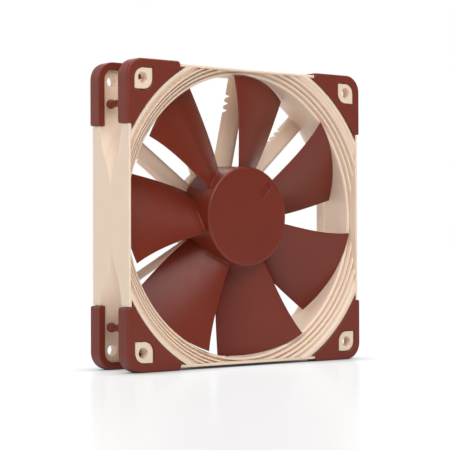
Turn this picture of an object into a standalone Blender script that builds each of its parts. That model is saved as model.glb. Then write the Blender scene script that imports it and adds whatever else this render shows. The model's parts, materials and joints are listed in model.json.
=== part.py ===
"""A square case fan with a seven-blade rotor, guide vanes and rubber corner pads.

Run it with blender --background --python part.py, or from Blender's text editor. The scene is in
metres with +Z up. Air enters at the front, which faces -Y, and the rotor turns about the Y axis
through the origin, which is the middle of the fan. The sizes below are in millimetres.

A place along the fan's axis is called y, a distance from the axis is called r, and an angle about
the axis is in degrees, counted anticlockwise from +X as seen from the front.
"""

from math import atan2, ceil, cos, degrees, hypot, pi, radians, sin, sqrt

import bmesh
import bpy
from mathutils import Matrix, Vector

MM = 0.001

# Overall, over the corner pads
FAN_SIDE = 120.0
FAN_DEPTH = 26.0

# Gaps between pieces
FIT_GAP = 0.3  # between pieces that touch in the real fan
RUNNING_GAP = 0.1  # between the shaft and its bearing, on the radius
TIP_GAP = 0.75  # between the blade tips and the duct
AIR_GAP = 0.6  # between the stator poles and the magnet
ROTOR_GAP = 1.0  # between the rotor's skirt and the motor base
CUT_SPARE = 1.0  # how far a cutter reaches past the face that it cuts

# Frame moulding
SIDE_WALL = 1.5  # duct wall at the middle of each side
SIDE_LIP = 1.0  # straight rim outside the inlet steps and the outlet flare
INSIDE_CORNER_RADIUS = 1.0
FLANGE_THICKNESS = 4.0
DUCT_OUTER_STEP = 3.6  # the duct's outside beyond its bore, midway between the flanges
# The pocket between the flanges, from the duct's waist to a flange: how far out, and how far along
POCKET_CURVE = ((2.2, 0.3), (3.8, 0.59), (7.0, 0.82), (12.9, 1.0))
INLET_RING_WIDTH = 8.5  # from the bore to the outside of the stepped inlet ring
INLET_STEP_DEPTH = 1.1
INLET_STEP_WIDTHS = (1.3, 1.6, 1.8, 1.8)  # from the bore outwards
OUTLET_FLARE_WIDTH = 5.5
OUTLET_FLARE_DEPTH = 8.0
SCREW_HOLE_DIAMETER = 4.3
SCREW_HOLE_INSET = 7.5  # from the hole's centre to the outside of the fan

# Corner pads
PAD_PROUD_SIDE = 1.0  # beyond the frame's sides
PAD_PROUD_FACE = 0.5  # beyond the frame's faces
PAD_CORNER_RADIUS = 7.0
PAD_SKIN = 0.7
PAD_SIDE_WALL = 1.6
PAD_RIM_DEPTH = 6.6  # from the pad's face to the end of its rim
PAD_RIM_WIDTH = 2.9
PAD_TIP_WIDTH = 3.7  # width of an arm where it ends
WINDOW_SIZE = 8.4
WINDOW_INSET = 7.75  # from the window's centre to the outside of the fan
WINDOW_CORNER_RADIUS = 4.2
PEG_DIAMETER = 2.7
PEG_KNOB_DIAMETER = 3.8
PEG_INSET = 5.0  # from the peg's axis to the outside of the fan
PEG_ALONG = 8.4  # from the end of the pad's arm to the peg's axis
PEG_CLEARANCE = 3.2  # from the knob's centre to the far flange

# Rotor moulding
HUB_DIAMETER = 40.0
HUB_SETBACK = 1.8  # from the fan's front face to the hub's
HUB_WALL = 1.5
HUB_FACE_THICKNESS = 1.6
HUB_EDGE_RADIUS = 1.0
HUB_SOCKET_DEPTH = 3.5
HUB_SOCKET_WALL = 1.6
HUB_MARK_SIZE = (1.5, 6.0, 0.3)  # width, length and depth of the slot in the hub's face
HUB_MARK_ANGLE = 49.0
HUB_MARK_RADIUS = 14.0
BLADE_COUNT = 7
BLADE_ROOT_THICKNESS = 1.9
BLADE_TIP_THICKNESS = 1.2
BLADE_EDGE_THICKNESS = 0.5
BLADE_CAMBER = 1.3
BLADE_FULLNESS = 0.7  # below 1 the blade thickens faster from its edges
BLADE_SPAN_STEPS = 5
BLADE_CHORD_STEPS = 6
# Angles of the first blade's edges at the hub, halfway along and at the tip
LEADING_ANGLES = (147.0, 145.6, 147.5)
TRAILING_ANGLES = (101.8, 107.0, 110.5)
LEADING_SETBACKS = (5.0, 2.9)  # from the fan's front face to the leading edge, hub and tip
TRAILING_SETBACKS = (2.7, 3.6)  # from the skirt's end to the trailing edge, hub and tip

# Motor base and guide vanes, part of the frame moulding
BASE_OVERHANG = 0.3  # beyond the hub's radius
BASE_DEPTH = 5.5
BASE_WALL = 1.4
BASE_PLATE = 1.2
LABEL_RECESS = 0.6
LABEL_THICKNESS = 0.2
LABEL_RIM = 1.0
TUBE_SOCKET_DEPTH = 2.7
TUBE_SOCKET_WALL = 1.4
POST_DIAMETER = 2.4
POST_RADIUS = 15.8
POST_COUNT = 3
LEAD_SLOT_WIDTH = 3.4
LEAD_SLOT_DEPTH = 2.6
VANE_DEPTH = 6.0
VANE_THICKNESS = 1.3
VANE_SPAN_STEP = 9.0
VANE_DEPTH_SHARES = (0.0, 0.4, 1.0)
VANE_OFFSETS = (-0.8, 3.9)  # a vane's front and rear edges, anticlockwise of the radial line at its angle
VANE_ANGLES = (9.5, 41.9, 77.1, 110.9, 144.7, 176.8, 208.9, 241.3, 273.4, 305.0, 337.0)
LEAD_VANE = 9  # the leads come out between this vane and the next
TOOTH_COUNT = 3
TOOTH_PITCH = 3.05
TOOTH_DEPTH = 2.0
TOOTH_SHARE = 0.68  # of the pitch, taken up by the notch
TOOTH_MARGIN = 5.05  # from the duct's bore to the outermost notch

# Motor, from the shaft outwards
SHAFT_DIAMETER = 3.0
SHAFT_GROOVE_DEPTH = 0.5
SHAFT_GROOVE_WIDTH = 0.9
BOSS_WALL = 1.4
SLEEVE_WALL = 1.4
SLEEVE_SETBACK = 1.0  # from the bearing tube's front end to the sleeve
TUBE_WALL = 0.9
SEAL_THICKNESS = 0.4
CLIP_THICKNESS = 0.5
CLIP_WIDTH = 1.35
CLIP_MOUTH = 60.0
THRUST_THICKNESS = 0.5
DAMPING_MAGNET_THICKNESS = 0.6
YOKE_THICKNESS = 0.9
YOKE_SETBACK = 1.0  # from the skirt's end to the yoke's
MAGNET_THICKNESS = 1.8
MAGNET_SETBACK = 0.3  # from the yoke's end to the magnet's
MAGNET_FRONT_SPACE = 0.9
CORE_RING_WALL = 2.0
POLE_COUNT = 4
POLE_NECK_WIDTH = 3.4
POLE_SHOE_THICKNESS = 1.8
POLE_SHOE_ANGLE = 76.0
INSULATOR_THICKNESS = 0.6
INSULATOR_INSET = 1.0  # from the pole's face to the insulator's
INSULATOR_SHOE_ANGLE = 70.0
COIL_WINDING = 1.6
COIL_HEIGHT = 1.3
COIL_ROUNDING = 0.8
COIL_SETBACK = 1.5  # from the magnet's front end to the coils
COIL_BACK_SPACE = 0.8  # from the coils to the parts on the board
BOARD_THICKNESS = 1.0
BOARD_SETBACK = 0.4  # from the motor base's rim to the board

# Circuit board parts; sizes are radial length, height and width
HALL_SIZE = (3.0, 1.3, 3.6)
HALL_RADIUS = 15.0
HALL_ANGLE = 45.0
CHIP_SIZE = (4.4, 1.2, 5.0)
CHIP_RADIUS = 11.0
CHIP_ANGLE = 225.0
CAPACITOR_DIAMETER = 3.4
CAPACITOR_RADIUS = 11.5
CAPACITOR_ANGLE = 140.0
RESISTOR_SIZE = (2.0, 0.7, 1.3)
RESISTOR_RADIUS = 10.5
RESISTOR_ANGLES = (25.0, 50.0)
TERMINAL_COUNT = 4
TERMINAL_SIZE = (2.2, 0.5, 1.2)
TERMINAL_RADIUS = 15.0
TERMINAL_SPREAD = 7.5  # degrees from one pad to the next

# Facets round a full turn, and the angle over which an edge is drawn sharp
SHARP_ANGLE = 35.0
FINE_FACETS = 60
HUB_FACETS = 48
MOTOR_FACETS = 32
SMALL_FACETS = 16
CORNER_STEPS = 6
FLARE_STEPS = 4
HUB_EDGE_STEPS = 4
KNOB_RINGS = 5
PAD_ARC_STEP = 5.0  # degrees

# Places that follow from the sizes
FRONT = -FAN_DEPTH / 2
BACK = FAN_DEPTH / 2
FRAME_HALF = FAN_SIDE / 2 - PAD_PROUD_SIDE
FRAME_BACK = BACK - PAD_PROUD_FACE
FRAME_FRONT = -FRAME_BACK
FLANGE_INNER = FRAME_BACK - FLANGE_THICKNESS
BORE_RADIUS = FRAME_HALF - SIDE_WALL
RING_RADIUS = BORE_RADIUS + INLET_RING_WIDTH
PAD_ARC_RADIUS = RING_RADIUS + FIT_GAP
PAD_ARM_END = sqrt(PAD_ARC_RADIUS**2 - (FAN_SIDE / 2 - PAD_TIP_WIDTH) ** 2)
HOLE_PLACE = FAN_SIDE / 2 - SCREW_HOLE_INSET

HUB_RADIUS = HUB_DIAMETER / 2
HUB_FRONT = FRONT + HUB_SETBACK
HUB_INNER_FACE = HUB_FRONT + HUB_FACE_THICKNESS
HUB_INNER_RADIUS = HUB_RADIUS - HUB_WALL
TIP_RADIUS = BORE_RADIUS - TIP_GAP
BASE_RADIUS = HUB_RADIUS + BASE_OVERHANG
BASE_FRONT = FRAME_BACK - BASE_DEPTH
LEAD_ANGLE = (VANE_ANGLES[LEAD_VANE] + VANE_ANGLES[LEAD_VANE + 1]) / 2
PLATE_BACK = FRAME_BACK - LABEL_RECESS
PLATE_FRONT = PLATE_BACK - BASE_PLATE
SKIRT_END = BASE_FRONT - ROTOR_GAP

SHAFT_RADIUS = SHAFT_DIAMETER / 2
BOSS_RADIUS = SHAFT_RADIUS + FIT_GAP + BOSS_WALL
SOCKET_RADIUS = BOSS_RADIUS + FIT_GAP + HUB_SOCKET_WALL
SOCKET_END = HUB_INNER_FACE + HUB_SOCKET_DEPTH
SLEEVE_BORE = SHAFT_RADIUS + RUNNING_GAP
SLEEVE_RADIUS = SLEEVE_BORE + SLEEVE_WALL
TUBE_BORE = SLEEVE_RADIUS + FIT_GAP
TUBE_RADIUS = TUBE_BORE + TUBE_WALL
TUBE_FRONT = SOCKET_END + FIT_GAP + ROTOR_GAP
TUBE_BACK = PLATE_FRONT - FIT_GAP
DAMPER_FRONT = TUBE_BACK - DAMPING_MAGNET_THICKNESS
THRUST_FRONT = DAMPER_FRONT - FIT_GAP - THRUST_THICKNESS
SHAFT_BACK = THRUST_FRONT - FIT_GAP
GROOVE_BACK = SHAFT_BACK - FIT_GAP
GROOVE_FRONT = GROOVE_BACK - SHAFT_GROOVE_WIDTH
CLIP_FRONT = (GROOVE_FRONT + GROOVE_BACK - CLIP_THICKNESS) / 2
SLEEVE_FRONT = TUBE_FRONT + SLEEVE_SETBACK
SLEEVE_BACK = GROOVE_FRONT - FIT_GAP

YOKE_RADIUS = HUB_INNER_RADIUS - FIT_GAP
YOKE_INNER = YOKE_RADIUS - YOKE_THICKNESS
YOKE_FRONT = HUB_INNER_FACE + FIT_GAP
YOKE_BACK = SKIRT_END - YOKE_SETBACK
MAGNET_RADIUS = YOKE_INNER - FIT_GAP
MAGNET_BORE = MAGNET_RADIUS - MAGNET_THICKNESS
MAGNET_FRONT = YOKE_FRONT + YOKE_THICKNESS + MAGNET_FRONT_SPACE
MAGNET_BACK = YOKE_BACK - MAGNET_SETBACK
CORE_RADIUS = MAGNET_BORE - AIR_GAP
CORE_BORE = TUBE_RADIUS + FIT_GAP
CORE_RING = CORE_BORE + CORE_RING_WALL
BOARD_FRONT = BASE_FRONT + BOARD_SETBACK
COIL_FRONT = MAGNET_FRONT + COIL_SETBACK
COIL_BACK = BOARD_FRONT - FIT_GAP - max(HALL_SIZE[1], CHIP_SIZE[1]) - COIL_BACK_SPACE
COIL_END_HEIGHT = COIL_HEIGHT + INSULATOR_THICKNESS + 2 * FIT_GAP
CORE_FRONT = COIL_FRONT + COIL_END_HEIGHT
CORE_BACK = COIL_BACK - COIL_END_HEIGHT
BOARD_BACK = BOARD_FRONT + BOARD_THICKNESS
BOARD_RADIUS = BASE_RADIUS - BASE_WALL - FIT_GAP


def clear_scene():
    for obj in list(bpy.data.objects):
        bpy.data.objects.remove(obj)


# Mesh building


def at(r, angle, y):
    """The point at distance r from the axis, at an angle in degrees."""
    return Vector((r * cos(radians(angle)), y, r * sin(radians(angle))))


def new_object(name, points, faces):
    """An object from points in millimetres, with its faces turned outwards."""
    mesh = bpy.data.meshes.new(name)
    mesh.from_pydata([Vector(point) * MM for point in points], [], faces)
    builder = bmesh.new()
    builder.from_mesh(mesh)
    bmesh.ops.recalc_face_normals(builder, faces=builder.faces)
    builder.to_mesh(mesh)
    builder.free()
    obj = bpy.data.objects.new(name, mesh)
    bpy.context.scene.collection.objects.link(obj)
    return obj


def turned(name, profile, facets=MOTOR_FACETS):
    """A solid of revolution about the fan's axis, from a closed outline of (r, y) points."""
    points = []
    rings = []
    for r, y in profile:
        count = 1 if r == 0 else facets
        rings.append([len(points) + step for step in range(count)] * (facets // count))
        points += [at(r, 360 * step / facets, y) for step in range(count)]
    faces = []
    for here, there in zip(rings, rings[1:] + rings[:1]):
        for step in range(facets):
            after = (step + 1) % facets
            corners = [here[step], here[after], there[after], there[step]]
            face = [corner for i, corner in enumerate(corners) if corner != corners[i - 1]]
            if len(face) > 2:
                faces.append(face)
    return new_object(name, points, faces)


def ring(name, inner, outer, front, back, facets=MOTOR_FACETS):
    """A plain tube about the fan's axis."""
    return turned(name, [(inner, front), (outer, front), (outer, back), (inner, back)], facets)


def disc(name, radius, front, back, facets=MOTOR_FACETS):
    return turned(name, [(0, front), (radius, front), (radius, back), (0, back)], facets)


def lofted(name, loops):
    """A solid through loops that have the same number of points, closed at both ends."""
    size = len(loops[0])
    points = [point for loop in loops for point in loop]
    faces = [list(range(size)), list(range(len(points) - size, len(points)))]
    for start in range(0, len(points) - size, size):
        for i in range(size):
            after = (i + 1) % size
            faces.append([start + i, start + after, start + size + after, start + size + i])
    return new_object(name, points, faces)


def prism(name, outline, front, back):
    """An outline of (x, z) points, extruded along the fan's axis."""
    return lofted(name, [[(x, y, z) for x, z in outline] for y in (front, back)])


def rod(name, x, z, radius, front, back, facets=SMALL_FACETS):
    """A round bar along the fan's axis, centred on x, z."""
    return prism(name, arc(x, z, radius, 0, 360, facets)[:-1], front, back)


def box(name, centre, size, angle=0.0):
    """A block whose width, depth and height are turned together about the fan's axis."""
    half = Vector(size) / 2
    corners = [(-1, -1), (1, -1), (1, 1), (-1, 1)]
    turn = Matrix.Rotation(radians(-angle), 3, "Y")
    loops = []
    for side in (-1, 1):
        loops.append(
            [
                Vector(centre) + turn @ Vector((half.x * i, half.y * side, half.z * k))
                for i, k in corners
            ]
        )
    return lofted(name, loops)


def arc(x, z, radius, start, end, steps):
    """Points from one angle to another round x, z, both ends included."""
    angles = [radians(start + (end - start) * i / steps) for i in range(steps + 1)]
    return [(x + radius * cos(angle), z + radius * sin(angle)) for angle in angles]


def rounded_square(half, radius, steps=CORNER_STEPS):
    """The outline of a square with round corners, centred on the axis."""
    centre = half - radius
    points = []
    for quarter, (i, k) in enumerate(((1, 1), (-1, 1), (-1, -1), (1, -1))):
        points += arc(i * centre, k * centre, radius, quarter * 90, quarter * 90 + 90, steps)
    return points


# Solid modelling


def combine(target, tools, operation):
    """Unites, cuts or intersects the target with each tool, and removes the tools."""
    for tool in tools:
        modifier = target.modifiers.new(operation.title(), "BOOLEAN")
        modifier.operation = operation
        modifier.solver = "EXACT"
        modifier.object = tool
    graph = bpy.context.evaluated_depsgraph_get()
    mesh = bpy.data.meshes.new_from_object(target.evaluated_get(graph))
    target.modifiers.clear()
    target.data = mesh
    for tool in tools:
        bpy.data.objects.remove(tool)
    return target


def cut(target, *tools):
    return combine(target, tools, "DIFFERENCE")


def join(target, *tools):
    return combine(target, tools, "UNION")


def keep_inside(target, *tools):
    return combine(target, tools, "INTERSECT")


def transformed(obj, matrix):
    """Moves the object's points, and keeps its faces pointing outwards."""
    obj.data.transform(matrix)
    if matrix.determinant() < 0:
        obj.data.flip_normals()
    return obj


# Corner pads


def corner_outline(grow):
    """The top right pad's outline, between the fan's corner and the inlet ring."""
    side = FAN_SIDE / 2 + grow
    centre = FAN_SIDE / 2 - PAD_CORNER_RADIUS
    end = PAD_ARM_END - grow
    inner = PAD_ARC_RADIUS - grow
    tip = degrees(atan2(end, sqrt(inner**2 - end**2)))
    steps = ceil((90 - 2 * tip) / PAD_ARC_STEP)
    outline = [(side, end)]
    outline += arc(centre, centre, PAD_CORNER_RADIUS + grow, 0, 90, CORNER_STEPS)
    outline += [(end, side)]
    outline += arc(0, 0, inner, 90 - tip, tip, steps)
    return outline


def window_outline():
    """The leaf-shaped window round the screw hole: two opposite corners are round."""
    centre = FAN_SIDE / 2 - WINDOW_INSET
    low = centre - WINDOW_SIZE / 2
    high = centre + WINDOW_SIZE / 2
    radius = WINDOW_CORNER_RADIUS
    outline = [(high, low)]
    outline += arc(high - radius, high - radius, radius, 0, 90, CORNER_STEPS)
    outline += [(low, high)]
    outline += arc(low + radius, low + radius, radius, 180, 270, CORNER_STEPS)
    return outline


def peg_place():
    """x and z of the peg, on the pad's upright arm."""
    return FAN_SIDE / 2 - PEG_INSET, PAD_ARM_END + PEG_ALONG


def pad_shell(name, grow):
    """The front top right pad without its window, or with grow, the room that it needs."""
    rim_end = FRONT + PAD_RIM_DEPTH + grow
    skin_back = FRONT + PAD_SKIN + grow
    flange_room = -FLANGE_INNER + FIT_GAP - grow
    wall = FAN_SIDE / 2 - PAD_SIDE_WALL - grow
    rim = FAN_SIDE / 2 - PAD_RIM_WIDTH - grow
    corner = PAD_CORNER_RADIUS - grow
    front = FRONT - (CUT_SPARE if grow else 0)
    shell = prism(name, corner_outline(grow), front, rim_end)
    flange = prism("flange", rounded_square(wall, corner - PAD_SIDE_WALL), skin_back, flange_room)
    hollow = prism(
        "hollow", rounded_square(rim, corner - PAD_RIM_WIDTH), skin_back, rim_end + CUT_SPARE
    )
    cut(shell, flange, hollow)
    peg_x, peg_z = peg_place()
    peg_end = FLANGE_INNER - PEG_CLEARANCE
    if grow:
        peg_end = FLANGE_INNER - PEG_CLEARANCE - PEG_KNOB_DIAMETER
    overlap = PAD_SKIN / 2
    peg = rod("peg", peg_x, peg_z, PEG_DIAMETER / 2 + grow, skin_back - overlap, peg_end)
    return join(shell, peg)


def peg_knob(name):
    """The round knob that keeps the peg in its hole."""
    x, z = peg_place()
    radius = PEG_KNOB_DIAMETER / 2
    middle = FLANGE_INNER - PEG_CLEARANCE
    loops = []
    for step in range(1, KNOB_RINGS):
        turn = pi * step / KNOB_RINGS
        loop = arc(x, z, radius * sin(turn), 0, 360, SMALL_FACETS)[:-1]
        loops.append([(px, middle - radius * cos(turn), pz) for px, pz in loop])
    return lofted(name, loops)


def corner_matrix(i, k, rear):
    """Takes the front top right pad to the corner on side i of X and k of Z."""
    matrix = Matrix.Diagonal((i, 1, k, 1))
    if rear:
        swap = Matrix(((0, 0, 1, 0), (0, -1, 0, 0), (1, 0, 0, 0), (0, 0, 0, 1)))
        matrix = matrix @ swap
    return matrix


def corners():
    """Each pad's name and the matrix that takes the front top right pad to it."""
    for face in ("front", "rear"):
        for k, height in ((1, "top"), (-1, "bottom")):
            for i, side in ((-1, "left"), (1, "right")):
                yield f"{face}_pad_{height}_{side}", corner_matrix(i, k, face == "rear")


def corner_pad(name, matrix):
    pad = pad_shell(name, 0.0)
    join(pad, peg_knob("knob"))
    window_back = FRONT + PAD_SKIN + CUT_SPARE
    cut(pad, prism("window", window_outline(), FRONT - CUT_SPARE, window_back))
    return transformed(pad, matrix)


# Frame moulding


def pocket_cutter():
    """Hollows the four sides towards the corners, between the flanges."""
    waist = BORE_RADIUS + DUCT_OUTER_STEP
    half = [(waist, 0)]
    half += [(waist + out, FLANGE_INNER * share) for out, share in POCKET_CURVE]
    half += [(FAN_SIDE, FLANGE_INNER)]
    mirrored = [(r, -y) for r, y in half[:0:-1]]
    return turned("pockets", mirrored + half, FINE_FACETS)


def duct_cutter():
    """The duct's bore with its stepped inlet and flared outlet, kept inside the straight rims."""
    outline = []
    r = BORE_RADIUS
    y = FRAME_FRONT + INLET_STEP_DEPTH * len(INLET_STEP_WIDTHS)
    outline.append((r, y))
    for width in INLET_STEP_WIDTHS:
        r += width
        outline.append((r, y))
        y -= INLET_STEP_DEPTH
        outline.append((r, y))
    outline[-1] = (r, FRAME_FRONT - CUT_SPARE)
    outline.append((0, FRAME_FRONT - CUT_SPARE))
    outline.append((0, FRAME_BACK + CUT_SPARE))
    flare_end = BORE_RADIUS + OUTLET_FLARE_WIDTH
    outline.append((flare_end, FRAME_BACK + CUT_SPARE))
    for step in range(FLARE_STEPS + 1):
        turn = pi / 2 * step / FLARE_STEPS
        flare_r = flare_end - OUTLET_FLARE_WIDTH * sin(turn)
        flare_y = FRAME_BACK - OUTLET_FLARE_DEPTH * (1 - cos(turn))
        outline.append((flare_r, flare_y))
    outline[-1] = (BORE_RADIUS, FRAME_BACK - OUTLET_FLARE_DEPTH)
    bore = turned("bore", outline, FINE_FACETS)
    rim_outline = rounded_square(FRAME_HALF - SIDE_LIP, INSIDE_CORNER_RADIUS)
    rims = prism("rims", rim_outline, -FAN_DEPTH, FAN_DEPTH)
    return keep_inside(bore, rims)


def vane_stations():
    """Radii along a vane, each with how far its rear edge is notched there."""
    outer = BORE_RADIUS + OUTLET_FLARE_WIDTH + SIDE_WALL
    teeth_start = BORE_RADIUS - TOOTH_MARGIN - TOOTH_COUNT * TOOTH_PITCH
    inner = BASE_RADIUS - BASE_WALL / 2
    plain = ceil((teeth_start - inner) / VANE_SPAN_STEP)
    stations = [(inner + (teeth_start - inner) * i / plain, 0.0) for i in range(plain)]
    for tooth in range(TOOTH_COUNT):
        start = teeth_start + tooth * TOOTH_PITCH
        middle = start + TOOTH_PITCH / 2
        half = TOOTH_PITCH * TOOTH_SHARE / 2
        stations += [(middle - half, 0.0), (middle, TOOTH_DEPTH), (middle + half, 0.0)]
    stations.append((outer, 0.0))
    return stations


def vane(angle):
    """A guide vane, leaning at its front edge and straight along the axis at its rear edge."""
    lean = VANE_OFFSETS[1] - VANE_OFFSETS[0]
    front = FRAME_BACK - VANE_DEPTH
    loops = []
    for r, notch in vane_stations():
        half = degrees(VANE_THICKNESS / 2 / r)
        middle_line = []
        for t in VANE_DEPTH_SHARES:
            offset = VANE_OFFSETS[0] + lean * (1 - (1 - t) ** 2)
            middle_line.append((angle + degrees(offset / r), t))
        end = FRAME_BACK - notch
        loop = [at(r, turn - half, front + (end - front) * t) for turn, t in middle_line]
        loop += [at(r, turn + half, front + (end - front) * t) for turn, t in reversed(middle_line)]
        loops.append(loop)
    return lofted("vane", loops)


def motor_base():
    """The round cup that holds the bearing tube, the stator and the circuit board."""
    inner = BASE_RADIUS - BASE_WALL
    socket = TUBE_RADIUS + FIT_GAP
    socket_front = PLATE_FRONT - TUBE_SOCKET_DEPTH
    socket_outer = socket + TUBE_SOCKET_WALL
    label_edge = BASE_RADIUS - LABEL_RIM
    outline = [
        (0, PLATE_FRONT),
        (socket, PLATE_FRONT),
        (socket, socket_front),
        (socket_outer, socket_front),
        (socket_outer, PLATE_FRONT),
        (inner, PLATE_FRONT),
        (inner, BASE_FRONT),
        (BASE_RADIUS, BASE_FRONT),
        (BASE_RADIUS, FRAME_BACK),
        (label_edge, FRAME_BACK),
        (label_edge, PLATE_BACK),
        (0, PLATE_BACK),
    ]
    base = turned("motor_base", outline, HUB_FACETS)
    posts = []
    for i in range(POST_COUNT):
        place = at(POST_RADIUS, LEAD_ANGLE + 360 * (i + 0.5) / POST_COUNT, 0)
        front = BOARD_BACK + FIT_GAP
        back = PLATE_FRONT + BASE_PLATE / 2
        posts.append(rod("post", place.x, place.z, POST_DIAMETER / 2, front, back, 12))
    return join(base, *posts)


def lead_slot():
    """The opening in the motor base's wall where the leads come out, between two vanes."""
    centre = at(BASE_RADIUS - BASE_WALL / 2, LEAD_ANGLE, PLATE_FRONT - LEAD_SLOT_DEPTH / 2)
    size = (BASE_WALL + 2 * CUT_SPARE, LEAD_SLOT_DEPTH, LEAD_SLOT_WIDTH)
    return box("lead_slot", centre, size, LEAD_ANGLE)


def frame():
    body = prism(
        "frame",
        rounded_square(FRAME_HALF, PAD_CORNER_RADIUS - PAD_PROUD_SIDE),
        FRAME_FRONT,
        FRAME_BACK,
    )
    cut(body, pocket_cutter(), duct_cutter())
    seats = [transformed(pad_shell("seat", FIT_GAP), matrix) for _, matrix in corners()]
    holes = []
    for i in (-1, 1):
        for k in (-1, 1):
            place = (i * HOLE_PLACE, k * HOLE_PLACE)
            holes.append(rod("hole", *place, SCREW_HOLE_DIAMETER / 2, -FAN_DEPTH, FAN_DEPTH))
    cut(body, *seats, *holes)
    wall_outline = rounded_square(FRAME_HALF - SIDE_LIP / 2, INSIDE_CORNER_RADIUS)
    inside_walls = prism("inside_walls", wall_outline, -FAN_DEPTH, FAN_DEPTH)
    vanes = join(vane(VANE_ANGLES[0]), *[vane(angle) for angle in VANE_ANGLES[1:]])
    keep_inside(vanes, inside_walls)
    inner = BASE_RADIUS - BASE_WALL / 2
    cut(vanes, disc("base_room", inner, -FAN_DEPTH, FAN_DEPTH, HUB_FACETS))
    join(body, vanes, motor_base())
    return cut(body, lead_slot())


# Rotor moulding


def through(values, share):
    """The curve through three values at shares 0, 0.5 and 1."""
    first, middle, last = values
    return (
        first * (1 - share) * (1 - 2 * share)
        + middle * 4 * share * (1 - share)
        + last * share * (2 * share - 1)
    )


def between(values, share):
    return values[0] + (values[1] - values[0]) * share


def blade_section(r, angle):
    """The closed loop round the blade at radius r, along its front side and back along its rear."""
    share = (r - HUB_RADIUS) / (TIP_RADIUS - HUB_RADIUS)
    start = through(LEADING_ANGLES, share) + angle
    end = through(TRAILING_ANGLES, share) + angle
    start_y = FRONT + between(LEADING_SETBACKS, share)
    end_y = SKIRT_END - between(TRAILING_SETBACKS, share)
    across = radians(end - start) * r
    along = end_y - start_y
    length = hypot(across, along)
    thickest = BLADE_ROOT_THICKNESS + (BLADE_TIP_THICKNESS - BLADE_ROOT_THICKNESS) * share
    sides = ([], [])
    for step in range(BLADE_CHORD_STEPS + 1):
        t = step / BLADE_CHORD_STEPS
        hump = 4 * t * (1 - t)
        half = (BLADE_EDGE_THICKNESS + (thickest - BLADE_EDGE_THICKNESS) * hump**BLADE_FULLNESS) / 2
        for side, offset in zip(sides, (-half, half)):
            y = start_y + along * t - BLADE_CAMBER * hump - offset * across / length
            turn = start + (end - start) * t + degrees(offset * along / length / r)
            side.append(at(r, turn, y))
    return sides[0] + sides[1][::-1]


def blade(angle):
    root = HUB_RADIUS - HUB_WALL / 2
    radii = [
        root + (TIP_RADIUS - root) * step / BLADE_SPAN_STEPS
        for step in range(BLADE_SPAN_STEPS + 1)
    ]
    return lofted("blade", [blade_section(r, angle) for r in radii])


def hub(name):
    """The cup that covers the motor, with the socket for the shaft's boss inside its face."""
    centre = (HUB_RADIUS - HUB_EDGE_RADIUS, HUB_FRONT + HUB_EDGE_RADIUS)
    edge = arc(*centre, HUB_EDGE_RADIUS, -90, 0, HUB_EDGE_STEPS)
    outline = [(0, HUB_FRONT)] + edge
    outline += [
        (HUB_RADIUS, SKIRT_END),
        (HUB_INNER_RADIUS, SKIRT_END),
        (HUB_INNER_RADIUS, HUB_INNER_FACE),
        (SOCKET_RADIUS, HUB_INNER_FACE),
        (SOCKET_RADIUS, SOCKET_END),
        (BOSS_RADIUS + FIT_GAP, SOCKET_END),
        (BOSS_RADIUS + FIT_GAP, HUB_INNER_FACE),
        (0, HUB_INNER_FACE),
    ]
    return turned(name, outline, HUB_FACETS)


def impeller():
    body = hub("impeller")
    join(body, *[blade(-360 * i / BLADE_COUNT) for i in range(BLADE_COUNT)])
    width, length, depth = HUB_MARK_SIZE
    centre = at(HUB_MARK_RADIUS, HUB_MARK_ANGLE, HUB_FRONT)
    return cut(body, box("mark", centre, (length, 2 * depth, width), HUB_MARK_ANGLE))


# Motor pieces on the rotor


def rotor_yoke():
    """The steel cup that closes the magnet's field, open round the hub's socket."""
    hole = SOCKET_RADIUS + FIT_GAP
    outline = [
        (hole, YOKE_FRONT),
        (YOKE_RADIUS, YOKE_FRONT),
        (YOKE_RADIUS, YOKE_BACK),
        (YOKE_INNER, YOKE_BACK),
        (YOKE_INNER, YOKE_FRONT + YOKE_THICKNESS),
        (hole, YOKE_FRONT + YOKE_THICKNESS),
    ]
    return turned("rotor_yoke", outline)


def ring_magnet():
    return ring("ring_magnet", MAGNET_BORE, MAGNET_RADIUS, MAGNET_FRONT, MAGNET_BACK)


def shaft_boss():
    inner = SHAFT_RADIUS + FIT_GAP
    front = HUB_INNER_FACE + FIT_GAP
    return ring("shaft_boss", inner, BOSS_RADIUS, front, SOCKET_END, SMALL_FACETS)


def shaft():
    front = HUB_INNER_FACE + FIT_GAP
    groove = SHAFT_RADIUS - SHAFT_GROOVE_DEPTH
    outline = [
        (0, front),
        (SHAFT_RADIUS, front),
        (SHAFT_RADIUS, GROOVE_FRONT),
        (groove, GROOVE_FRONT),
        (groove, GROOVE_BACK),
        (SHAFT_RADIUS, GROOVE_BACK),
        (SHAFT_RADIUS, SHAFT_BACK),
        (0, SHAFT_BACK),
    ]
    return turned("shaft", outline, SMALL_FACETS)


def retaining_clip():
    """The split washer in the shaft's groove, which keeps the rotor in its bearing."""
    inner = SHAFT_RADIUS - SHAFT_GROOVE_DEPTH + RUNNING_GAP
    start = CLIP_MOUTH / 2
    outline = arc(0, 0, inner + CLIP_WIDTH, start, 360 - start, 16)
    outline += arc(0, 0, inner, 360 - start, start, 16)
    return prism("retaining_clip", outline, CLIP_FRONT, CLIP_FRONT + CLIP_THICKNESS)


# Motor pieces on the frame


def bearing_tube():
    return ring("bearing_tube", TUBE_BORE, TUBE_RADIUS, TUBE_FRONT, TUBE_BACK)


def bearing_sleeve():
    return ring("bearing_sleeve", SLEEVE_BORE, SLEEVE_RADIUS, SLEEVE_FRONT, SLEEVE_BACK, SMALL_FACETS)


def oil_seal_washer():
    back = SLEEVE_FRONT - FIT_GAP
    inner = SHAFT_RADIUS + 2 * RUNNING_GAP
    return ring("oil_seal_washer", inner, SLEEVE_RADIUS, back - SEAL_THICKNESS, back, SMALL_FACETS)


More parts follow.
